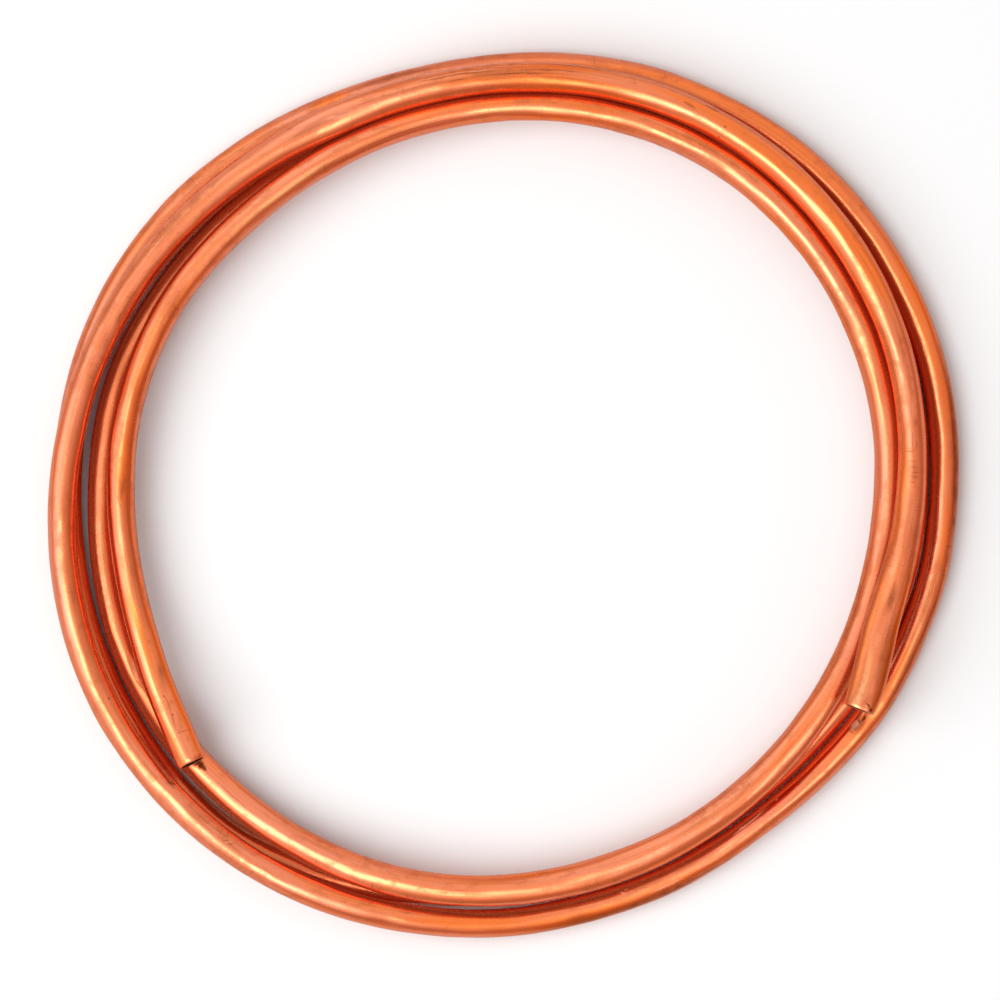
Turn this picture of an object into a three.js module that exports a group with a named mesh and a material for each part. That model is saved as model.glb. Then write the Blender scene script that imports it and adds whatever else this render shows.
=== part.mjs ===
// A loose coil of soft copper tube: one length of round drawn tube, wound by hand into
// nearly four turns and laid down on the floor. Millimetres, +Z up, the floor at z = 0.
// The tube is one hollow body, open at both cut ends. Its centre line goes round the coil
// counter-clockwise, from the end that lies on top of the pile to the end that stops
// above the innermost turn.

import * as THREE from 'three';

// ---- the tube ----
const tubeDiameter = 6;
const wallThickness = 0.5;
const turnGap = 0.2; // clearance between turns that lie on or beside each other

// ---- the coil ----
const ringRadius = 84.2; // of the line that the turns lie about
const ovality = 2.1; // the ring is this much longer and shorter than round, each way
const ovalDirection = 38; // degrees, the long axis of the oval

// ---- the stretches that are squeezed flat ----
const squeezeSpread = 1.6; // how much wider than round the tube is where it is flattest

// ---- fineness ----
const stepsPerTurn = 60;
const tubeSides = 12;

// One turn that touches the next lies this far from it, centre to centre.
const turnPitch = tubeDiameter + turnGap;

// Where the tube lies in the pile. The first number of each pair is an angle round the
// coil in degrees, which counts on from turn to turn, from one cut end to the other.

// How far outside the ring line the tube runs there, in turn pitches. The first turn runs
// out over the second, the second steps inwards under the third near 960 degrees, and
// each of the others lies a little further in than the one before.
const lanes = [
  [328.8, 0.6], [331, 0.5], [333, 0.39], [335, 0.27], [337, 0.16], [340, 0.03], [343, -0.03],
  [347, -0.04], [351, -0.01], [360, 0.06], [370, 0.18], [380, 0.31], [390, 0.385], [400, 0.46],
  [410, 0.54], [416, 0.57], [430, 0.605], [440, 0.575], [450, 0.54], [460, 0.515], [470, 0.54],
  [480, 0.62], [490, 0.74], [500, 0.88], [510, 1.01], [522, 1.13], [532, 1.18], [540, 1.22],
  [550, 1.265], [565, 1.31], [575, 1.28], [590, 1.22], [605, 1.13], [620, 1.05], [630, 1.025],
  [640, 0.95], [650, 0.93], [660, 0.902], [667, 0.868], [674, 0.925], [681, 1.02], [690, 1.17],
  [700, 1.215], [710, 1.3], [720, 1.29], [735, 1.37], [750, 1.355], [765, 1.34], [780, 1.235],
  [793, 1.165], [803, 1.065], [814, 0.96], [825, 0.98], [835, 1.09], [847, 1.3], [858, 1.445],
  [870, 1.49], [880, 1.43], [890, 1.3], [900, 1.145], [910, 1.07], [930, 1.02], [950, 0.95],
  [965, 0.55], [980, 0.07], [1000, -0.13], [1010, -0.11], [1019, -0.075], [1030, -0.075],
  [1040, 0.015], [1050, 0.145], [1060, 0.215], [1070, 0.3], [1080, 0.29], [1095, 0.365],
  [1110, 0.35], [1125, 0.23], [1140, 0.13], [1160, 0.06], [1175, -0.05], [1187, -0.07],
  [1198, -0.15], [1210, -0.1], [1220, -0.04], [1230, 0.06], [1240, 0.135], [1247, 0.12],
  [1257, 0], [1268, -0.035], [1285, 0.005], [1296, -0.06], [1305, -0.135], [1320, -0.155],
  [1335, -0.12], [1350, -0.135], [1362, -0.18], [1380, -0.23], [1408, -0.44], [1425, -0.595],
  [1437, -0.65], [1450, -0.61], [1470, -0.565], [1485, -0.495], [1500, -0.41], [1520, -0.4],
  [1540, -0.45], [1560, -0.5], [1570, -0.51], [1580, -0.465], [1590, -0.395], [1600, -0.455],
  [1610, -0.57], [1620, -0.72], [1630, -0.825], [1640, -0.815], [1650, -0.6], [1656, -0.375],
  [1660.8, -0.1],
];

// How high it rides above the turns on the floor, in turn pitches: 1 is straight on top of
// another turn, and less than 1 is down in the groove beside it. Both ends spring up.
const lifts = [
  [328.8, 1.88], [345, 1.48], [352, 1.34], [360, 1.21], [370, 1.11], [380, 1.05], [395, 1.06],
  [425, 1.07], [440, 1.18], [450, 1.24], [460, 1.27], [470, 1.17], [480, 0.97], [490, 0.9],
  [510, 0.95], [540, 1.02], [570, 1.01], [585, 1.01], [600, 0.95], [612, 0.7], [625, 0.33],
  [640, 0.06], [652, 0.015], [660, 0.022], [665, 0.041], [670, 0.038], [675, 0.024], [680, 0.003],
  [685, 0], [695, 0], [1245, 0], [1260, 0], [1275, 0.02], [1290, 0.12], [1305, 0.38], [1320, 0.7],
  [1335, 0.95], [1350, 0.97], [1380, 0.98], [1408, 0.87], [1425, 0.62], [1435, 0.48],
  [1445, 0.44], [1457, 0.43], [1470, 0.56], [1485, 0.78], [1500, 0.88], [1520, 0.91],
  [1545, 0.94], [1567, 0.99], [1590, 0.98], [1605, 0.91], [1620, 0.78], [1640, 0.84],
  [1650, 1.17], [1660.8, 1.6],
];

// How much of the squeeze the tube shows, from 0 where it is round to 1 where it is flattest,
// which is just behind the end on top of the pile. Below 0 it stands a little taller than wide.
const squeezes = [
  [328.8, 0.6], [331, 0.9], [335, 1], [340, 0.9], [345, 0.75], [350, 0.5], [355, 0.22],
  [360, 0.15], [365, 0.03], [370, 0], [380, 0], [390, 0.17], [400, 0.25], [410, 0.2], [420, 0.12],
  [430, 0.12], [440, 0.18], [450, 0.2], [460, 0.25], [470, 0.38], [475, 0.53], [478, 0.5],
  [481, 0.25], [485, 0.05], [488, 0], [492, 0], [645, 0], [653, 0], [660, -0.15], [665, -0.32],
  [670, -0.3], [675, -0.18], [681, 0], [687, 0], [1280, 0], [1290, 0], [1296, 0.16], [1302, 0.34],
  [1320, 0.35], [1345, 0.33], [1355, 0.43], [1363, 0.47], [1371, 0.38], [1380, 0.25],
  [1395, 0.22], [1410, 0.2], [1430, 0.15], [1445, 0], [1455, 0], [1634, 0], [1643, 0.1],
  [1651, 0.2], [1660.8, 0.2],
];

// Returns a function that runs smoothly through the pairs.
function smoothThrough(pairs) {
  const angles = pairs.map((pair) => pair[0]);
  const values = pairs.map((pair) => pair[1]);
  const interpolant = new THREE.CubicInterpolant(angles, values, 1);
  return (angle) => interpolant.evaluate(angle)[0];
}

// The tube's centre line, from the end on top of the pile to the inner end.
class CoilLine extends THREE.Curve {
  constructor() {
    super();
    this.lane = smoothThrough(lanes);
    this.lift = smoothThrough(lifts);
    this.squeeze = smoothThrough(squeezes);
    this.firstAngle = lanes[0][0];
    this.lastAngle = lanes[lanes.length - 1][0];
    this.turnCount = (this.lastAngle - this.firstAngle) / 360;
  }

  getAngle(t) {
    return THREE.MathUtils.lerp(this.firstAngle, this.lastAngle, t);
  }

  getPoint(t, target = new THREE.Vector3()) {
    const angle = this.getAngle(t);
    const turned = THREE.MathUtils.degToRad(angle);
    const fromLongAxis = THREE.MathUtils.degToRad(angle - ovalDirection);
    const radius = ringRadius + ovality * Math.cos(2 * fromLongAxis) + turnPitch * this.lane(angle);
    const height = tubeDiameter / 2 + turnPitch * this.lift(angle);
    return target.set(radius * Math.cos(turned), radius * Math.sin(turned), height);
  }
}

// Half the tube's width and height. The squeezed section is an oval with the girth of the
// round one.
function halfSizes(squeeze) {
  const round = tubeDiameter / 2;
  const halfWidth = round + (squeezeSpread / 2) * squeeze;
  const halfHeight = Math.sqrt(2 * round * round - halfWidth * halfWidth);
  return { halfWidth, halfHeight };
}

// The corners of the section at one step along the tube, square to the centre line, first
// those of the outside and then those of the bore.
function sectionCorners(line, t) {
  const centre = line.getPoint(t);
  const along = line.getTangent(t);
  const side = new THREE.Vector3().crossVectors(along, new THREE.Vector3(0, 0, 1)).normalize();
  const up = new THREE.Vector3().crossVectors(side, along);
  const { halfWidth, halfHeight } = halfSizes(line.squeeze(line.getAngle(t)));
  const corners = [];
  for (const inset of [0, wallThickness]) {
    for (let i = 0; i < tubeSides; i++) {
      const turned = (2 * Math.PI * i) / tubeSides;
      const corner = centre.clone();
      corner.addScaledVector(side, (halfWidth - inset) * Math.cos(turned));
      corner.addScaledVector(up, (halfHeight - inset) * Math.sin(turned));
      corners.push(corner);
    }
  }
  return corners;
}

// The hollow tube along the centre line: an outside skin, a bore, and a flat ring of wall
// at each cut end.
function tubeGeometry(line) {
  const steps = Math.round(stepsPerTurn * line.turnCount);
  const positions = [];
  for (let step = 0; step <= steps; step++) {
    for (const corner of sectionCorners(line, step / steps)) {
      positions.push(corner.x, corner.y, corner.z);
    }
  }

  const indices = [];
  const addQuad = (a, b, c, d) => indices.push(a, b, c, a, c, d);
  const outside = (step, i) => 2 * tubeSides * step + (i % tubeSides);
  const bore = (step, i) => outside(step, i) + tubeSides;
  for (let i = 0; i < tubeSides; i++) {
    for (let step = 0; step < steps; step++) {
      addQuad(outside(step, i), outside(step + 1, i), outside(step + 1, i + 1), outside(step, i + 1));
      addQuad(bore(step, i), bore(step, i + 1), bore(step + 1, i + 1), bore(step + 1, i));
    }
    addQuad(outside(0, i), outside(0, i + 1), bore(0, i + 1), bore(0, i));
    addQuad(outside(steps, i), bore(steps, i), bore(steps, i + 1), outside(steps, i + 1));
  }

  const geometry = new THREE.BufferGeometry();
  geometry.setAttribute('position', new THREE.Float32BufferAttribute(positions, 3));
  geometry.setIndex(indices);
  return geometry;
}

// The origin is under the middle of the coil's outline, on the floor.
function centreOnFloor(geometry) {
  geometry.computeBoundingBox();
  const middle = geometry.boundingBox.getCenter(new THREE.Vector3());
  geometry.translate(-middle.x, -middle.y, -geometry.boundingBox.min.z);
  geometry.computeVertexNormals();
  return geometry;
}

const copper = new THREE.MeshStandardMaterial({ color: 0xe0855a, roughness: 0.28, metalness: 1 });
const copperTube = new THREE.Mesh(centreOnFloor(tubeGeometry(new CoilLine())), copper);
copperTube.name = 'copper_tube';

const coil = new THREE.Group();
coil.add(copperTube);

export default coil;
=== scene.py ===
from math import asin, cos, pi, radians, sin, tan

import bpy
import numpy as np
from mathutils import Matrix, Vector


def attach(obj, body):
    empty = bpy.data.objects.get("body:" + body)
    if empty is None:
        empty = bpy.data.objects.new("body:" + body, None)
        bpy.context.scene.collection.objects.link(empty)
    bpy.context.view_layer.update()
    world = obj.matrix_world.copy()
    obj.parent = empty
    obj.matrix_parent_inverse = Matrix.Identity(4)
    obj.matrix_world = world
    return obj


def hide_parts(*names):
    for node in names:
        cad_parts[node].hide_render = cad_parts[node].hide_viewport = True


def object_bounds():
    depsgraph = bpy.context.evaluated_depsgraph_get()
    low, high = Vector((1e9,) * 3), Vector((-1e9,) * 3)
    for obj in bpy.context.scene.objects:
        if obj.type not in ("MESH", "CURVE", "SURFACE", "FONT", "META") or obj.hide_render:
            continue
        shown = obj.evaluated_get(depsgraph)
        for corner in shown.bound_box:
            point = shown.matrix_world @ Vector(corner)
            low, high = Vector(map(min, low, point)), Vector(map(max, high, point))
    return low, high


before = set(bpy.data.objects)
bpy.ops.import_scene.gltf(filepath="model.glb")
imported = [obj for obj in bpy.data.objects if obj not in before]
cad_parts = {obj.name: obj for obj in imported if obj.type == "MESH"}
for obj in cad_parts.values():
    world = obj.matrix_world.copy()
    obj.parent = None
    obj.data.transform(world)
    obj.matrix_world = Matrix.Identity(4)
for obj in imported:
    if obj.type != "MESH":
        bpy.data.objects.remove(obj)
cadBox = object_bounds()
print("packed frame loaded")

# The tube and how it is wound, in metres and degrees, with the values of the solid
tube = {
    "diameter": 0.006,
    "wall": 0.0005,
    "squeezeSpread": 0.0016,  # how much wider than round it is where it is flattest
}
coil = {
    "ringRadius": 0.0842,
    "ovality": 0.0021,
    "ovalDirection": 38,
    "turnPitch": 0.0062,
    # angle round the coil, and how far out or up the tube runs there in turn pitches
    "lanes": [
        (328.8, 0.6), (331, 0.5), (333, 0.39), (335, 0.27), (337, 0.16), (340, 0.03),
        (343, -0.03), (347, -0.04), (351, -0.01), (360, 0.06), (370, 0.18), (380, 0.31),
        (390, 0.385), (400, 0.46), (410, 0.54), (416, 0.57), (430, 0.605), (440, 0.575),
        (450, 0.54), (460, 0.515), (470, 0.54), (480, 0.62), (490, 0.74), (500, 0.88),
        (510, 1.01), (522, 1.13), (532, 1.18), (540, 1.22), (550, 1.265), (565, 1.31),
        (575, 1.28), (590, 1.22), (605, 1.13), (620, 1.05), (630, 1.025), (640, 0.95),
        (650, 0.93), (660, 0.902), (667, 0.868), (674, 0.925), (681, 1.02), (690, 1.17),
        (700, 1.215), (710, 1.3), (720, 1.29), (735, 1.37), (750, 1.355), (765, 1.34),
        (780, 1.235), (793, 1.165), (803, 1.065), (814, 0.96), (825, 0.98), (835, 1.09),
        (847, 1.3), (858, 1.445), (870, 1.49), (880, 1.43), (890, 1.3), (900, 1.145), (910, 1.07),
        (930, 1.02), (950, 0.95), (965, 0.55), (980, 0.07), (1000, -0.13), (1010, -0.11),
        (1019, -0.075), (1030, -0.075), (1040, 0.015), (1050, 0.145), (1060, 0.215), (1070, 0.3),
        (1080, 0.29), (1095, 0.365), (1110, 0.35), (1125, 0.23), (1140, 0.13), (1160, 0.06),
        (1175, -0.05), (1187, -0.07), (1198, -0.15), (1210, -0.1), (1220, -0.04), (1230, 0.06),
        (1240, 0.135), (1247, 0.12), (1257, 0), (1268, -0.035), (1285, 0.005), (1296, -0.06),
        (1305, -0.135), (1320, -0.155), (1335, -0.12), (1350, -0.135), (1362, -0.18),
        (1380, -0.23), (1408, -0.44), (1425, -0.595), (1437, -0.65), (1450, -0.61),
        (1470, -0.565), (1485, -0.495), (1500, -0.41), (1520, -0.4), (1540, -0.45), (1560, -0.5),
        (1570, -0.51), (1580, -0.465), (1590, -0.395), (1600, -0.455), (1610, -0.57),
        (1620, -0.72), (1630, -0.825), (1640, -0.815), (1650, -0.6), (1656, -0.375),
        (1660.8, -0.1),
    ],
    "lifts": [
        (328.8, 1.88), (345, 1.48), (352, 1.34), (360, 1.21), (370, 1.11), (380, 1.05),
        (395, 1.06), (425, 1.07), (440, 1.18), (450, 1.24), (460, 1.27), (470, 1.17), (480, 0.97),
        (490, 0.9), (510, 0.95), (540, 1.02), (570, 1.01), (585, 1.01), (600, 0.95), (612, 0.7),
        (625, 0.33), (640, 0.06), (652, 0.015), (660, 0.022), (665, 0.041), (670, 0.038),
        (675, 0.024), (680, 0.003), (685, 0), (695, 0), (1245, 0), (1260, 0), (1275, 0.02),
        (1290, 0.12), (1305, 0.38), (1320, 0.7), (1335, 0.95), (1350, 0.97), (1380, 0.98),
        (1408, 0.87), (1425, 0.62), (1435, 0.48), (1445, 0.44), (1457, 0.43), (1470, 0.56),
        (1485, 0.78), (1500, 0.88), (1520, 0.91), (1545, 0.94), (1567, 0.99), (1590, 0.98),
        (1605, 0.91), (1620, 0.78), (1640, 0.84), (1650, 1.17), (1660.8, 1.6),
    ],
    # how much of the squeeze it shows there; below 0 it stands taller than wide
    "squeezes": [
        (328.8, 0.6), (331, 0.9), (335, 1), (340, 0.9), (345, 0.75), (350, 0.5), (355, 0.22),
        (360, 0.15), (365, 0.03), (370, 0), (380, 0), (390, 0.17), (400, 0.25), (410, 0.2),
        (420, 0.12), (430, 0.12), (440, 0.18), (450, 0.2), (460, 0.25), (470, 0.38), (475, 0.53),
        (478, 0.5), (481, 0.25), (485, 0.05), (488, 0), (492, 0), (645, 0), (653, 0),
        (660, -0.15), (665, -0.32), (670, -0.3), (675, -0.18), (681, 0), (687, 0), (1280, 0),
        (1290, 0), (1296, 0.16), (1302, 0.34), (1320, 0.35), (1345, 0.33), (1355, 0.43),
        (1363, 0.47), (1371, 0.38), (1380, 0.25), (1395, 0.22), (1410, 0.2), (1430, 0.15),
        (1445, 0), (1455, 0), (1634, 0), (1643, 0.1), (1651, 0.2), (1660.8, 0.2),
    ],
}


# A smooth run through the pairs: a cubic between each two, whose slope at a pair is the mean
# of the straight slopes on its two sides
def smoothThrough(pairs, angle):
    at, value = np.array(pairs, float).T
    straight = np.diff(value) / np.diff(at)
    slope = np.concatenate([straight[:1], (straight[:-1] + straight[1:]) / 2, straight[-1:]])
    k = np.clip(np.searchsorted(at, angle, side="right") - 1, 0, len(at) - 2)
    span = at[k + 1] - at[k]
    t = (angle - at[k]) / span
    fromStart = (1 + 2 * t) * (1 - t) ** 2 * value[k] + t * (1 - t) ** 2 * span * slope[k]
    fromEnd = t * t * (3 - 2 * t) * value[k + 1] + t * t * (t - 1) * span * slope[k + 1]
    return fromStart + fromEnd


# The centre line: radius = ring + oval + lane * pitch, height = half a tube + lift * pitch
def centreLine(angle):
    turned = np.radians(angle)
    oval = coil["ovality"] * np.cos(2 * (turned - radians(coil["ovalDirection"])))
    out = coil["ringRadius"] + oval + coil["turnPitch"] * smoothThrough(coil["lanes"], angle)
    up = tube["diameter"] / 2 + coil["turnPitch"] * smoothThrough(coil["lifts"], angle)
    return np.stack([out * np.cos(turned), out * np.sin(turned), up], axis=-1)


# Side and up of the section: side = along x Z, which points out of the coil, up = side x along
def sectionAxes(angle):
    reach = 0.05
    along = centreLine(angle + reach) - centreLine(angle - reach)
    along /= np.linalg.norm(along, axis=-1, keepdims=True)
    side = np.cross(along, [0.0, 0.0, 1.0])
    side /= np.linalg.norm(side, axis=-1, keepdims=True)
    return side, np.cross(side, along)


firstAngle, lastAngle = coil["lanes"][0][0], coil["lanes"][-1][0]
denseAngle = np.linspace(firstAngle, lastAngle, 12000)
denseSteps = np.linalg.norm(np.diff(centreLine(denseAngle), axis=0), axis=1)
denseDistance = np.concatenate([[0.0], np.cumsum(denseSteps)])
tubeLength = denseDistance[-1]
print(f"tube is {tubeLength:.4f} m long")


# Distance along the tube from its top end, for an angle round the coil
def distanceAt(angle):
    return float(np.interp(angle, denseAngle, denseDistance))


# The skin: how many sides it has, its steps along the tube in metres, and its cut ends
skin = {
    "sides": 40,
    "longStep": 0.00128,
    "boreStep": 0.0066,
    "boreInset": 0.002,  # how far in from the cuts the steps of the bore start
    "endStep": 0.00016,
    "endReach": 0.006,  # how far in from the cuts the short steps go
    # the cut edge, from the outside to the bore: how far back from the cut, how deep in the wall
    "cutEdge": [
        (0.00016, 0.0), (0.00008, 0.00002), (0.00003, 0.00006), (0.0, 0.00013), (0.0, 0.00038),
        (0.00003, 0.00045), (0.0001, 0.0005),
    ],
    "rollIn": 0.00022,  # how far a cut end is rolled in by the cutter, and over what length
    "rollReach": 0.0011,
}

# Shallow dents and flats left by winding and handling. Where the centre of each is, as an angle
# round the coil and a side offset (-1 towards the coil's middle, 0 on top, 1 outwards), half its
# length along the tube, half its width round it in degrees, and its depth
dents = [
    {"angle": 545, "offset": 0.3, "length": 0.0030, "width": 38, "depth": 0.00022},
    {"angle": 548.5, "offset": -0.2, "length": 0.0022, "width": 30, "depth": 0.00016},
    {"angle": 583, "offset": 0.5, "length": 0.0035, "width": 36, "depth": 0.00022},
    {"angle": 587, "offset": 0.1, "length": 0.0028, "width": 30, "depth": 0.00012},
    {"angle": 614.3, "offset": 0.3, "length": 0.0030, "width": 42, "depth": 0.00024},
    {"angle": 477, "offset": 0.2, "length": 0.0065, "width": 34, "depth": 0.00011},
    {"angle": 689, "offset": 0.35, "length": 0.0024, "width": 30, "depth": 0.00020},
    {"angle": 333.5, "offset": -0.1, "length": 0.0040, "width": 34, "depth": 0.00015},
]


# Half width and half height of the section: an oval with the girth of the round one
def halfSizes(angle):
    squeeze = smoothThrough(coil["squeezes"], angle)
    halfWidth = tube["diameter"] / 2 + tube["squeezeSpread"] / 2 * squeeze
    halfHeight = np.sqrt(tube["diameter"] ** 2 / 2 - halfWidth**2)
    return halfWidth, halfHeight


# Depth of all the dents at each distance and turn of the section, each a bell in both directions:
# depth * exp(-along**2 - round**2)
def dentDepth(distance, turn):
    depth = np.zeros(np.broadcast(distance, turn).shape)
    for dent in dents:
        alongBell = (distance - distanceAt(dent["angle"])) / dent["length"]
        centre = np.arccos(dent["offset"])
        roundBell = (np.mod(turn - centre + pi, 2 * pi) - pi) / radians(dent["width"])
        depth += dent["depth"] * np.exp(-(alongBell**2) - roundBell**2)
    return depth


# What the bending has done to the section: slow waves along the tube, two to five times round
# it, in and out of the round skin: depth = size / times * cos(times * turn - lean), summed
waves = {"number": 18, "size": 0.00004, "shortest": 0.009, "longest": 0.08, "seed": 4}


def bendWaves(distance, turn):
    pick = np.random.default_rng(waves["seed"])
    depth = np.zeros(np.broadcast(distance, turn).shape)
    for _ in range(waves["number"]):
        times = pick.integers(2, 6)
        length = pick.uniform(waves["shortest"], waves["longest"])
        lean = 2 * np.sin(2 * pi * distance / length + pick.uniform(0, 2 * pi))
        depth += waves["size"] / times * np.cos(times * turn - lean)
    return depth


# The lengthwise section of the wall is a closed line of (distance, depth in the wall): along the
# outside, round the cut edge, back through the bore, and round the other cut edge
def wallLine():
    edge = np.array(skin["cutEdge"])
    start = edge[0, 0]
    near = np.arange(start + skin["endStep"], skin["endReach"], skin["endStep"])
    farSteps = int((tubeLength - 2 * skin["endReach"]) / skin["longStep"])
    middle = np.linspace(skin["endReach"], tubeLength - skin["endReach"], farSteps)
    outside = np.concatenate([near, middle, (tubeLength - near)[::-1]])
    boreSteps = int(tubeLength / skin["boreStep"])
    bore = np.linspace(tubeLength - skin["boreInset"], skin["boreInset"], boreSteps)
    lineDistance = np.concatenate([outside, tubeLength - edge[:, 0], bore, edge[::-1, 0]])
    lineDepth = np.concatenate(
        [np.zeros_like(outside), edge[:, 1], np.full(boreSteps, tube["wall"]), edge[::-1, 1]]
    )
    return lineDistance, lineDepth


# How much of what each point of the skin faces is other turns. Every turn adds
# (sin(high) - sin(low)) / 2, where high and low are the angles from the outward direction to its
# two sides, cut off at a right angle
def closeness(points, outwards, angle):
    covered = np.zeros(points.shape[:2])
    for turns in (-3, -2, -1, 1, 2, 3):
        other = angle + 360 * turns
        there = (other >= firstAngle) & (other <= lastAngle)
        way = centreLine(np.clip(other, firstAngle, lastAngle))[:, None, :] - points
        far = np.linalg.norm(way, axis=-1)
        half = np.arcsin(np.minimum(tube["diameter"] / 2 / far, 1))
        tilt = np.arccos(np.clip((way * outwards).sum(-1) / far, -1, 1))
        high, low = np.minimum(tilt + half, pi / 2), np.minimum(tilt - half, pi / 2)
        share = (np.sin(high) - np.sin(np.maximum(low, -pi / 2))) / 2
        covered += share * there[:, None]
    return np.minimum(covered, 1)


# Broad patches of the skin. Each is an oval laid on the unrolled skin: angle round the coil, side
# offset, half length along the tube and half width round it in millimetres, how far it is turned
# in degrees, and how strong it is
patches = {
    "orange": [
        (776, 0.2, 34, 2.4, 0, 0.9), (834, 0.5, 4.6, 1.2, 0, 1.0), (850, 0.55, 14, 1.0, 0, 0.6),
        (745, 0.3, 12, 1.5, 0, 0.6), (1130, 0.2, 20, 1.6, 0, 0.5), (715, 0.2, 9, 0.9, 0, 0.8),
        (610, -0.5, 16, 0.8, 0, 0.6),
    ],
    # stains, and painted shade in long bands along the outer flanks of the outer turns
    "brownStainAndShade": [
        (477.9, 0.19, 4.0, 0.7, 0, 0.35), (825, 0.62, 9.0, 0.9, 0, 0.42),
        (1619, -0.2, 2.6, 0.5, 12, 0.4), (686.9, -0.3, 2.4, 1.6, 0, 0.6),
        (725, 0.74, 22, 0.9, 0, 0.65), (700, 0.68, 16, 0.7, 0, 0.45), (648, 0.76, 24, 0.9, 0, 0.6),
        (1262, 0.1, 3.0, 0.9, 0, 0.25), (1590, -0.1, 5.0, 0.8, 0, 0.3),
        (1648, -0.5, 4.0, 0.9, 10, 0.3), (640, 0.35, 3.0, 0.7, 0, 0.3),
        (345, 0.1, 2.8, 1.1, 0, 0.6), (363.2, -0.07, 2.4, 1.1, 0, 0.3),
        (336, 0.8, 9.0, 1.3, 0, 0.45), (330.4, 0.35, 1.6, 0.5, 20, 0.25),
        (477.9, -0.3, 1.6, 0.8, 0, 0.4), (1390, -0.34, 1.4, 0.4, 0, 0.3),
        (1285.9, -0.2, 3.8, 0.7, 0, 0.5), (472, -0.1, 8.5, 1.0, 0, 0.5),
        (1000, 0.2, 20, 0.7, 0, 0.25),
    ],
    # painted highlights: pale streaks where the lamps' highlights should show
    "paintedHighlight": [
        (1529, -0.2, 11, 0.7, 0, 0.7), (1566, -0.25, 13, 0.6, 0, 0.7), (332, -0.42, 8, 1.1, 0, 0.7),
        (347, -0.4, 6, 0.6, 0, 0.4), (706.5, -0.03, 17, 0.45, -4, 0.8),
        (1648, 0.42, 15, 0.5, 0, 0.8),
    ],
    # less painted shade in these grooves
    "clearing": [  # where a groove is less dark than the turns beside it would make it
        (705, -0.4, 26, 1.1, 0, 0.7), (678, -0.55, 18, 1.0, 0, 0.6),
    ],
}


# How many half sizes from its centre a patch or mark ends, and where it is full
edgeFade = (1.3, 0.5)


# Way round the skin from its top, for a side offset
def roundWayAt(offset):
    return asin(offset) * tube["diameter"] / 2


# Where the broad patches of a kind are: 1 within, fading to 0 at their edges,
# far = length of (along / halfLength, across / halfWidth), both turned with the patch
def broadMask(kind, distance, roundWay):
    mask = np.zeros(roundWay.shape)
    ends, full = edgeFade
    for angle, offset, halfLength, halfWidth, turned, strength in patches[kind]:
        along = (distance - distanceAt(angle)) * 1000
        across = (roundWay - roundWayAt(offset)) * 1000
        lean = radians(turned)
        first = (along * cos(lean) + across * sin(lean)) / halfLength
        second = (across * cos(lean) - along * sin(lean)) / halfWidth
        fade = np.clip((ends - np.hypot(first, second)) / (ends - full), 0, 1)
        mask = np.maximum(mask, strength * fade * fade * (3 - 2 * fade))
    return mask


# The skin: each point of the wall line carried round the section,
# point = centre + side * (halfWidth - depth) * cos(turn) + up * (halfHeight - depth) * sin(turn)
def tubeSkin():
    lineDistance, lineDepth = wallLine()
    distance = lineDistance[:, None]
    turn = np.linspace(0, 2 * pi, skin["sides"], endpoint=False)[None, :]
    angle = np.interp(lineDistance, denseDistance, denseAngle)
    centre = centreLine(angle)[:, None, :]
    side, up = (axis[:, None, :] for axis in sectionAxes(angle))
    halfWidth, halfHeight = halfSizes(angle[:, None])
    fromEnd = np.minimum(distance, tubeLength - distance)
    rolled = skin["rollIn"] * np.maximum(1 - fromEnd / skin["rollReach"], 0) ** 2
    depth = lineDepth[:, None] + rolled + dentDepth(distance, turn) + bendWaves(distance, turn)
    outward = (halfWidth - depth) * np.cos(turn)
    upward = (halfHeight - depth) * np.sin(turn)
    points = centre + side * outward[..., None] + up * upward[..., None]
    straight = np.stack([np.broadcast_to(distance, outward.shape), outward, upward], axis=-1)
    inBore = np.broadcast_to(lineDepth[:, None] > 0.9 * tube["wall"], outward.shape)
    onCut = np.broadcast_to((lineDepth[:, None] > 0.00005) & ~inBore, outward.shape)
    outwards = side * np.cos(turn)[..., None] + up * np.sin(turn)[..., None]
    roundWay = np.arctan2(outward, upward) * tube["diameter"] / 2
    # how much painted shade each point gets in the grooves: how closed in it is, less where cleared
    cleared = broadMask("clearing", distance, roundWay)
    close = closeness(points, outwards, angle) * (1 - cleared)
    shadeBoreAndCut = np.stack([close, inBore, onCut], axis=-1)
    # orange patches, brown patches of stains and painted shade, and painted highlights
    masks = [broadMask(kind, distance, roundWay) for kind in ("orange", "brownStainAndShade", "paintedHighlight")]
    tints = np.stack(masks, axis=-1)
    return points, {"straightTube": straight, "shadeBoreAndCut": shadeBoreAndCut, "tints": tints}


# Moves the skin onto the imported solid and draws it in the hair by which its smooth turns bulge
# past the solid's flat facets
def fitToFrame(points):
    low, high = np.array(cadBox[0]), np.array(cadBox[1])
    ownLow, ownHigh = points.min((0, 1)), points.max((0, 1))
    scale = np.minimum((high - low) / (ownHigh - ownLow), 1)
    middle = (ownLow + ownHigh) / 2
    fitted = (points - middle) * scale + (low + high) / 2
    fitted[..., 2] += low[2] - fitted[..., 2].min()
    return fitted


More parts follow.
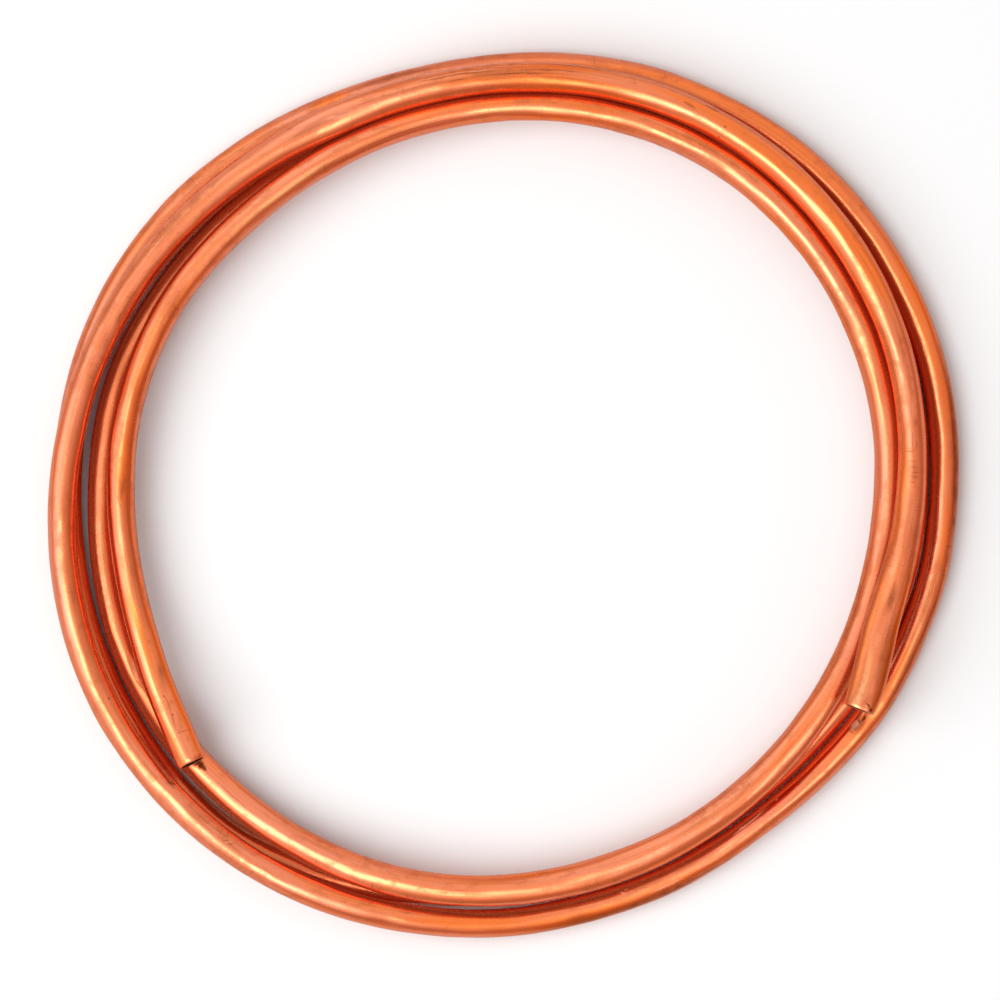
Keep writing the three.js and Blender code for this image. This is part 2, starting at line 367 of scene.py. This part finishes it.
# A grid that closes on itself both ways becomes one shell of quads with its faces out
def shellFromGrid(name, points, attributes):
    rows, columns = points.shape[:2]
    index = np.arange(rows * columns).reshape(rows, columns)
    nextRow, nextColumn = np.roll(index, -1, 0), np.roll(index, -1, 1)
    both = np.roll(nextRow, -1, 1)
    quads = np.stack([index, nextRow, both, nextColumn], axis=-1).reshape(-1, 4)
    mesh = bpy.data.meshes.new(name)
    mesh.vertices.add(rows * columns)
    mesh.vertices.foreach_set("co", points.astype(np.float32).ravel())
    mesh.loops.add(quads.size)
    mesh.loops.foreach_set("vertex_index", quads.astype(np.int32).ravel())
    mesh.polygons.add(len(quads))
    mesh.polygons.foreach_set("loop_start", np.arange(0, quads.size, 4, dtype=np.int32))
    mesh.update(calc_edges=True)
    mesh.polygons.foreach_set("use_smooth", np.ones(len(quads), dtype=bool))
    for label, values in attributes.items():
        layer = mesh.attributes.new(label, "FLOAT_VECTOR", "POINT")
        layer.data.foreach_set("vector", values.astype(np.float32).ravel())
    mesh.validate()
    shell = bpy.data.objects.new(name, mesh)
    bpy.context.scene.collection.objects.link(shell)
    return shell


# A shader socket: sums and products of it add Math nodes, and node() adds any other node
class Wire:
    def __init__(self, tree, socket=None):
        self.tree = tree
        self.socket = socket

    def node(self, kind, settings=None, inputs=None, output=0):
        made = self.tree.nodes.new(kind)
        for name, value in (settings or {}).items():
            setattr(made, name, value)
        for name, value in (inputs or {}).items():
            target = next(s for s in made.inputs if name in (s.identifier, s.name))
            if isinstance(value, Wire):
                self.tree.links.new(value.socket, target)
            else:
                target.default_value = value
        return Wire(self.tree, made.outputs[output])

    def math(self, operation, *values):
        inputs = {"Value": self}
        inputs.update({f"Value_{i + 1:03d}": value for i, value in enumerate(values)})
        return self.node("ShaderNodeMath", {"operation": operation}, inputs)

    def parts(self):
        return [self.node("ShaderNodeSeparateXYZ", {}, {"Vector": self}, i) for i in range(3)]

    def __add__(self, other):
        return self.math("ADD", other)

    def __sub__(self, other):
        return self.math("SUBTRACT", other)

    def __rsub__(self, other):
        return (self * -1).math("ADD", other)

    def __mul__(self, other):
        return self.math("MULTIPLY", other)

    def __pow__(self, other):
        return self.math("POWER", other)

    __radd__ = __add__
    __rmul__ = __mul__


# A new material, its Principled shader, and a Wire to start from
def startMaterial(name):
    material = bpy.data.materials.new(name)
    material.use_nodes = True
    tree = material.node_tree
    return material, tree.nodes["Principled BSDF"], Wire(tree)


# Sets sockets of a shader, or links them
def joinTo(shader, inputs):
    for name, value in inputs.items():
        if isinstance(value, Wire):
            value.tree.links.new(value.socket, shader.inputs[name])
        else:
            shader.inputs[name].default_value = value


# From 0 to top, smoothly, as the value goes from low to high
def smoothRamp(start, value, low, high, top=1.0):
    settings = {"interpolation_type": "SMOOTHSTEP"}
    inputs = {"Value": value, "From Min": low, "From Max": high, "To Min": 0.0, "To Max": top}
    return start.node("ShaderNodeMapRange", settings, inputs)


def mixColours(start, factor, first, second):
    inputs = {"Factor_Float": factor, "A_Color": first, "B_Color": second}
    return start.node("ShaderNodeMix", {"data_type": "RGBA"}, inputs, output=2)


# Drawn copper: its colours where it is clean, more orange, more pink and tarnished; for stains and
# painted shade, scuffs and painted glints, painted highlights, painted shade in the grooves between
# turns and in the bore, and the cuts; and how it shines
copper = {
    "clean": (0.94, 0.245, 0.102, 1),
    "orange": (1.0, 0.205, 0.044, 1),
    "pink": (0.93, 0.255, 0.128, 1),
    "tarnished": (0.62, 0.145, 0.05, 1),
    # stains, and the painted shade of the brown patches
    "stainedAndShaded": (0.17, 0.026, 0.006, 1),
    # painted highlight: pale copper where a lamp's highlight should show
    "paintedHighlight": (1.0, 0.44, 0.17, 1),
    # scuffs, and painted glints along some turn edges
    "scuffedAndGlinting": (1.0, 0.46, 0.29, 1),
    # painted shade: the grooves between turns are darkened as shade falls there
    "groove": (0.66, 0.155, 0.05, 1),
    "deepGrooveShade": (0.78, 0.075, 0.016, 1),
    # painted shade: the bore is near black
    "bore": (0.006, 0.003, 0.002, 1),
    "cutFace": (1.0, 0.55, 0.32, 1),
    "roughness": 0.24,
    "lineDepth": 0.013,  # how deep the draw lines are, in millimetres
    "hollowDepth": 0.03,  # how deep the small uneven hollows are, in millimetres
    "unevenEdge": 0.0009,  # how far the edges of the marks wander, in metres
    # where the painted groove shade starts and is full, by how closed in the skin is
    "grooveAreas": (0.22, 0.56),  # how closed in a groove is where it starts and where it is full
    "deepAreas": (0.6, 0.95),  # the same for the deep part of a groove
    # the patterns that lie along the tube: how many to a metre along it and round it, and their
    # detail
    "patterns": {
        "drawLines": (40, 2600, 2.0),
        "bands": (24, 800, 3.0),
        "mottles": (300, 480, 3.0),
        "clouds": (45, 130, 3.0),
        "hues": (18, 240, 2.0),
        "specks": (1500, 2200, 1.0),
        "scratches": (3600, 300, 1.0),
    },
    # at what level of its pattern each kind of tarnish starts and is full, and how strong it is
    "tarnish": {
        "bands": (0.48, 0.68, 0.5),
        "drawLines": (0.52, 0.66, 0.3),
        "blotches": (0.84, 1.02, 0.42),
        "specks": (0.7, 0.76, 0.5),
        "scratches": (0.64, 0.7, 0.5),
    },
    "scratchedAreas": (0.5, 0.62),  # at what level of the clouds scratches start and are full
    "orangeAreas": (0.5, 0.66),  # at what level of the hues the copper turns orange, and pink
    "pinkAreas": (0.5, 0.36),
}

# Small marks on the skin, given as the broad patches are. The last value of a pit is its depth in
# millimetres
marks = {
    "stains": [
        (1301.35, -0.1, 0.75, 1.4, 0, 1.0), (1302, -0.15, 0.8, 0.9, 0, 1.0),
        (1302.5, -0.2, 0.8, 0.5, 0, 0.9), (1285.5, 0.06, 2.8, 0.12, 0, 0.7),
        (1656.6, -0.4, 0.09, 1.7, 0, 0.5), (1653.4, -0.13, 3.2, 0.09, 3, 0.6),
        (1651.8, -0.22, 2.2, 0.08, -4, 0.5), (1655, -0.03, 2.0, 0.08, 2, 0.45),
        (1650.9, -0.16, 0.3, 0.2, 0, 0.7), (1653.9, -0.22, 0.25, 0.2, 0, 0.7),
        (1308.7, -0.14, 5.8, 0.11, 0, 0.6), (580.9, -0.84, 1.0, 0.35, 0, 0.9),
        (591.3, -0.35, 0.16, 0.8, 30, 0.6), (592, -0.3, 0.16, 0.8, 30, 0.6),
        (567.3, -0.54, 0.35, 0.25, 0, 0.7), (419, -0.75, 0.3, 0.2, 0, 0.6),
        (419, 0.09, 0.3, 0.25, 0, 0.6), (421.5, 0.77, 1.6, 0.35, 0, 0.5),
        (424.5, 0.29, 1.5, 0.4, 8, 0.4), (440, 0.86, 9.0, 0.22, 0, 0.55),
        (456.5, 0.11, 2.1, 0.1, 0, 0.6), (798.2, 0.59, 0.12, 1.2, 0, 0.35),
        (1621, 0.1, 1.5, 0.15, -20, 0.35), (687.4, -0.33, 0.28, 0.8, 15, 1.0),
        (688.1, -0.2, 1.1, 0.3, 0, 1.0), (685.6, -0.3, 0.25, 0.9, 15, 0.6),
        (329.7, 0.55, 0.18, 0.8, 23, 1.0), (329.3, 0.78, 0.4, 0.5, 0, 1.0),
        (443, 0.5, 6.0, 0.14, 0, 0.6), (447.5, 0.22, 9.0, 0.16, 0, 0.55),
        (362.4, 0.0, 0.09, 1.4, 4, 0.75), (363, 0.1, 0.08, 1.1, -3, 0.7),
        (363.7, -0.05, 0.09, 1.3, 2, 0.7), (366, -0.2, 0.09, 1.1, -4, 0.7),
        (361.6, -0.1, 0.09, 1.0, -3, 0.7), (364.6, -0.1, 0.09, 1.1, 3, 0.7),
        (366.8, 0.2, 0.9, 0.14, 0, 0.6), (370, 0.3, 0.8, 0.12, 0, 0.6),
        (456, 0.5, 7.0, 0.13, 0, 0.5),
    ],
    # scuffs, and painted glints: thin pale lines along some turn edges where a reflection should show
    "scuffsAndGlints": [
        (646.6, -0.41, 0.6, 0.3, 30, 0.6), (647.3, -0.53, 0.5, 0.2, -20, 0.5),
        (667, -0.47, 4.4, 0.24, -2, 1.0), (671.7, -0.62, 0.4, 0.3, 0, 0.7),
        (652.5, 0.29, 3.6, 0.25, 0, 0.4), (686.6, -0.45, 1.3, 0.8, 30, 0.3),
        (591.6, -0.21, 0.9, 0.2, 20, 0.25), (1285.3, -0.2, 2.2, 0.25, 4, 0.35),
        (338.6, -0.12, 1.8, 1.0, 0, 0.15), (329.5, 0.45, 0.3, 0.4, 0, 0.5),
        (457, 0.62, 11, 0.12, 0, 0.7), (449, 0.74, 8, 0.1, 0, 0.5), (474, 0.15, 2.2, 0.5, 20, 0.12),
        (1070, 0.84, 9, 0.24, 0, 1.0),
    ],
    "pits": [
        (1285.9, -0.17, 4.0, 0.75, 0, 0.07), (686.9, -0.38, 1.0, 0.8, 0, 0.06),
        (329.8, 0.5, 0.5, 0.9, 23, 0.05), (597, 0.3, 3.5, 0.9, 0, 0.035),
    ],
}


# Where the marks of a kind are: 1 within, fading to 0 at their edges
def markMask(start, unrolled, kind):
    mask = 0.0
    for angle, offset, halfLength, halfWidth, turned, strength in marks[kind]:
        inputs = {
            "Vector": unrolled,
            "Location": (distanceAt(angle), roundWayAt(offset), 0),
            "Rotation": (0, 0, radians(turned)),
            "Scale": (halfLength / 1000, halfWidth / 1000, 1),
        }
        within = start.node("ShaderNodeMapping", {"vector_type": "TEXTURE"}, inputs)
        far = start.node("ShaderNodeVectorMath", {"operation": "LENGTH"}, {"Vector": within}, 1)
        mask = smoothRamp(start, far, *edgeFade, strength).math("MAXIMUM", mask)
    return mask


# A noise that lies along the tube
def lyingPattern(start, place, perMetreAlong, perMetreRound, detail):
    settings = {"operation": "MULTIPLY"}
    scale = (perMetreAlong, perMetreRound, perMetreRound)
    vector = start.node("ShaderNodeVectorMath", settings, {"Vector": place, "Vector_001": scale})
    inputs = {"Vector": vector, "Scale": 1.0, "Detail": detail, "Roughness": 0.6}
    return start.node("ShaderNodeTexNoise", {}, inputs)


# How tarnished the copper is by one kind, where its pattern has that level
def tarnish(start, kind, level):
    starts, full, strength = copper["tarnish"][kind]
    return smoothRamp(start, level, starts, full, strength)


def copperMaterial():
    material, shader, start = startMaterial("drawnCopper")
    place = start.node("ShaderNodeAttribute", {"attribute_name": "straightTube"}, output=1)
    # the painted groove shade, the bore and the cut, carried from the skin
    shadeBoreAndCut = start.node("ShaderNodeAttribute", {"attribute_name": "shadeBoreAndCut"}, output=1)
    distance, outward, upward = place.parts()
    close, bore, cutFace = shadeBoreAndCut.parts()
    tints = start.node("ShaderNodeAttribute", {"attribute_name": "tints"}, output=1)
    orangeHere, brownStainAndShadeHere, paintedHighlightHere = tints.parts()

    drawLines, bands, mottles, clouds, hues, specks, scratches = (
        lyingPattern(start, place, *values) for values in copper["patterns"].values()
    )

    # the skin laid flat, its edges made uneven for the marks
    roundWay = outward.math("ARCTAN2", upward) * (tube["diameter"] / 2)
    uneven = (mottles - 0.5) * copper["unevenEdge"]
    unrolledInputs = {"X": distance + uneven, "Y": roundWay + uneven}
    unrolled = start.node("ShaderNodeCombineXYZ", {}, unrolledInputs)
    # stains, and the painted shade of the brown patches
    stainedAndShaded = markMask(start, unrolled, "stains").math("MAXIMUM", brownStainAndShadeHere * (mottles + 0.5))
    # scuffs, and painted glints
    scuffedAndGlinting = markMask(start, unrolled, "scuffsAndGlints")

    blotched = tarnish(start, "blotches", mottles + clouds * 0.7)
    scratched = smoothRamp(start, clouds, *copper["scratchedAreas"])
    tarnished = (
        tarnish(start, "bands", bands)
        + tarnish(start, "drawLines", drawLines)
        + blotched
        + tarnish(start, "specks", specks)
        + tarnish(start, "scratches", scratches) * scratched
    )
    oranger = smoothRamp(start, hues, *copper["orangeAreas"]).math("MAXIMUM", orangeHere)
    pinker = smoothRamp(start, hues, *copper["pinkAreas"])
    base = mixColours(start, pinker, copper["clean"], copper["pink"])
    base = mixColours(start, oranger, base, copper["orange"])
    # painted highlights
    base = mixColours(start, paintedHighlightHere, base, copper["paintedHighlight"])
    base = mixColours(start, tarnished.math("MINIMUM", 1), base, copper["tarnished"])
    base = mixColours(start, cutFace, base, copper["cutFace"])
    base = mixColours(start, stainedAndShaded, base, copper["stainedAndShaded"])
    # painted shade in the grooves between turns, darker in their deepest part
    grooved = smoothRamp(start, close, *copper["grooveAreas"])
    base = mixColours(start, grooved, base, copper["groove"])
    deep = smoothRamp(start, close, *copper["deepAreas"])
    base = mixColours(start, deep, base, copper["deepGrooveShade"])
    base = mixColours(start, scuffedAndGlinting, base, copper["scuffedAndGlinting"])
    # painted shade: the bore near black
    base = mixColours(start, bore, base, copper["bore"])
    roughness = copper["roughness"] + (drawLines - 0.5) * 0.14 + blotched * 0.24
    roughness = roughness + scuffedAndGlinting * 0.2 + stainedAndShaded * 0.1 + bore * 0.3
    # the painted groove shade, the painted highlights, and the scuffs with their painted glints also
    # mirror less
    metallic = 1 - grooved * 0.25 - deep * 0.45 - scuffedAndGlinting * 0.3 - paintedHighlightHere * 0.3
    height = drawLines * copper["lineDepth"] + mottles * copper["hollowDepth"]  # millimetres
    height = height - markMask(start, unrolled, "pits")
    bump = start.node("ShaderNodeBump", {}, {"Height": height, "Strength": 1, "Distance": 0.001})
    joinTo(shader, {"Base Color": base, "Metallic": metallic, "Roughness": roughness, "Normal": bump})
    return material


points, attributes = tubeSkin()
skinPiece = shellFromGrid("copper_tube_skin", fitToFrame(points), attributes)
skinPiece.data.materials.append(copperMaterial())
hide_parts("copper_tube")
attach(skinPiece, "root")
print(f"skin made, {len(skinPiece.data.polygons) * 2} triangles")

# The studio: a white floor, a dome of soft light with darker and brighter patches, and lamps.
# Directions are angles round from +X and angles down from straight above
studio = {
    "floorSize": 6.0,
    "floorBelow": 0.00002,  # how far the floor is below the lowest turn
    "floorColour": (0.8, 0.8, 0.8, 1),
    "shownFloorColour": (0.96, 0.96, 0.96, 1),
    "mirroredFloorColour": (0.72, 0.72, 0.72, 1),
    "domeLevel": 0.92,
    "floorShare": 0.55,  # how much of the dome's light falls on what doesn't mirror it
    "patchCore": 4,  # over how many degrees from its middle a patch is full
    # each patch: round, down, how many degrees it reaches, how bright it is beside the rest
    "domePatches": [
        (357, 91, 56, 0.31), (356, 36, 24, 0.68), (284, 71, 45, 0.42), (161, 84, 33, 0.62),
        (98, 78, 27, 0.7), (180, 46, 28, 1.8), (137, 33, 28, 1.2), (300, 28, 20, 1.2),
        (115, 48, 24, 1.25), (62, 36, 40, 1.12), (328, 36, 14, 1.3), (271, 44, 18, 1.4),
        (216, 34, 40, 1.42), (325, 62, 36, 0.76), (200, 4, 18, 0.84), (135, 62, 26, 1.4),
    ],
}
# Lamps: where they are, their level (the brightness of the face, where white is 1), the degrees
# over which they shine, and whether they light the floor and are mirrored in the copper
lamps = {
    "mainLamp": {
        "round": 229, "down": 23, "distance": 1.5, "size": 0.9, "level": 3.6, "spread": 180,
        "aim": (0, 0, 0), "lightsFloor": False, "mirrored": True,
    },
    "fillLamp": {
        "round": 196, "down": 37, "distance": 1.5, "size": 1.75, "level": 2.95, "spread": 180,
        "aim": (0, 0, 0), "lightsFloor": True, "mirrored": False,
    },
    "sideLamp": {
        "round": 320, "down": 42, "distance": 0.305, "size": 0.11, "level": 2.6, "spread": 40,
        "aim": (0.065, -0.052, 0.008), "lightsFloor": False, "mirrored": True,
    },
    "endLamp": {
        "round": 193, "down": 48, "distance": 0.257, "size": 0.05, "level": 3.4, "spread": 30,
        "aim": (-0.066, -0.055, 0.012), "lightsFloor": False, "mirrored": True,
    },
}


# The unit vector that points that far round and that far down from straight above
def towards(turnedDegrees, downDegrees):
    turned, down = radians(turnedDegrees), radians(downDegrees)
    return Vector((sin(down) * cos(turned), sin(down) * sin(turned), cos(down)))


# Whether the ray that asks is the camera's own, and whether it was mirrored or let through
def rayKinds(start):
    camera, glossy, through = (
        start.node("ShaderNodeLightPath", output=kind) for kind in (0, 3, 6)
    )
    return camera, glossy.math("MAXIMUM", through)


def makeFloor():
    half = studio["floorSize"] / 2
    mesh = bpy.data.meshes.new("floor")
    corners = [(-half, -half), (half, -half), (half, half), (-half, half)]
    mesh.from_pydata([(x, y, -studio["floorBelow"]) for x, y in corners], [], [(0, 1, 2, 3)])
    floor = bpy.data.objects.new("floor", mesh)
    bpy.context.scene.collection.objects.link(floor)
    material, shader, start = startMaterial("whiteFloor")
    shown, mirrored = rayKinds(start)
    colour = mixColours(start, shown, studio["floorColour"], studio["shownFloorColour"])
    colour = mixColours(start, mirrored, colour, studio["mirroredFloorColour"])
    joinTo(shader, {"Base Color": colour, "Roughness": 0.9, "Specular IOR Level": 0.0})
    mesh.materials.append(material)


# The dome is white to the camera. The copper mirrors its patches, whose colour is warmer where
# they are darker: red = 0.95 * level**0.55, green = level, blue = 1.04 * level**1.35
def makeDome():
    world = bpy.data.worlds.new("dome")
    bpy.context.scene.world = world
    world.use_nodes = True
    tree = world.node_tree
    start = Wire(tree)
    direction = start.node("ShaderNodeTexCoord", output=0)
    level = studio["domeLevel"]
    for turned, down, reach, gain in studio["domePatches"]:
        settings = {"operation": "DOT_PRODUCT"}
        inputs = {"Vector": direction, "Vector_001": towards(turned, down)}
        nearness = start.node("ShaderNodeVectorMath", settings, inputs, 1)
        full = cos(radians(studio["patchCore"]))
        share = smoothRamp(start, nearness, cos(radians(reach)), full)
        level = level * (1 + (gain - 1) * share)
    shown, mirrored = rayKinds(start)
    channels = {"Red": level**0.55 * 0.95, "Green": level, "Blue": level**1.35 * 1.04}
    tinted = start.node("ShaderNodeCombineColor", {}, channels)
    plain = studio["domeLevel"] * studio["floorShare"]
    colour = mixColours(start, shown, (plain, plain, plain, 1), (1, 1, 1, 1))
    lighting = start.node("ShaderNodeBackground", {}, {"Color": colour, "Strength": 1})
    patched = start.node("ShaderNodeBackground", {}, {"Color": tinted, "Strength": 1})
    # mixed as shaders, so that the patches are worked out only for mirrored rays
    inputs = {"Fac": mirrored, "Shader": lighting, "Shader_001": patched}
    mixed = start.node("ShaderNodeMixShader", {}, inputs)
    tree.nodes.remove(tree.nodes["Background"])
    tree.links.new(mixed.socket, tree.nodes["World Output"].inputs["Surface"])


def makeLamps():
    for name, values in lamps.items():
        light = bpy.data.lights.new(name, "AREA")
        light.shape = "DISK"
        light.size = values["size"]
        light.spread = radians(values["spread"])
        # a face of level 1 gives pi watts to a square metre, and a narrow lamp gives less
        half = radians(min(values["spread"], 179)) / 2
        face = pi * values["size"] ** 2 / 4
        light.energy = values["level"] * pi * face * (1 - half / tan(half))
        lamp = bpy.data.objects.new(name, light)
        lamp.location = towards(values["round"], values["down"]) * values["distance"]
        way = lamp.location - Vector(values["aim"])
        lamp.rotation_euler = way.to_track_quat("Z", "Y").to_euler()
        lamp.visible_camera = False
        lamp.visible_diffuse = values["lightsFloor"]
        lamp.visible_glossy = values["mirrored"]
        bpy.context.scene.collection.objects.link(lamp)


makeFloor()
makeDome()
makeLamps()
print("studio lit")

# The camera looks straight down on the coil
view = {"aside": -0.00097, "below": -0.00113, "height": 1.003, "fieldWidth": 0.2105}


def makeCamera():
    data = bpy.data.cameras.new("camera")
    tubeMiddle = tube["diameter"] / 2
    data.lens = data.sensor_width * (view["height"] - tubeMiddle) / view["fieldWidth"]
    camera = bpy.data.objects.new("camera", data)
    camera.location = (view["aside"], view["below"], view["height"])
    bpy.context.scene.collection.objects.link(camera)
    bpy.context.scene.camera = camera


makeCamera()
bpy.context.scene.view_settings.view_transform = "Standard"
print("camera set")
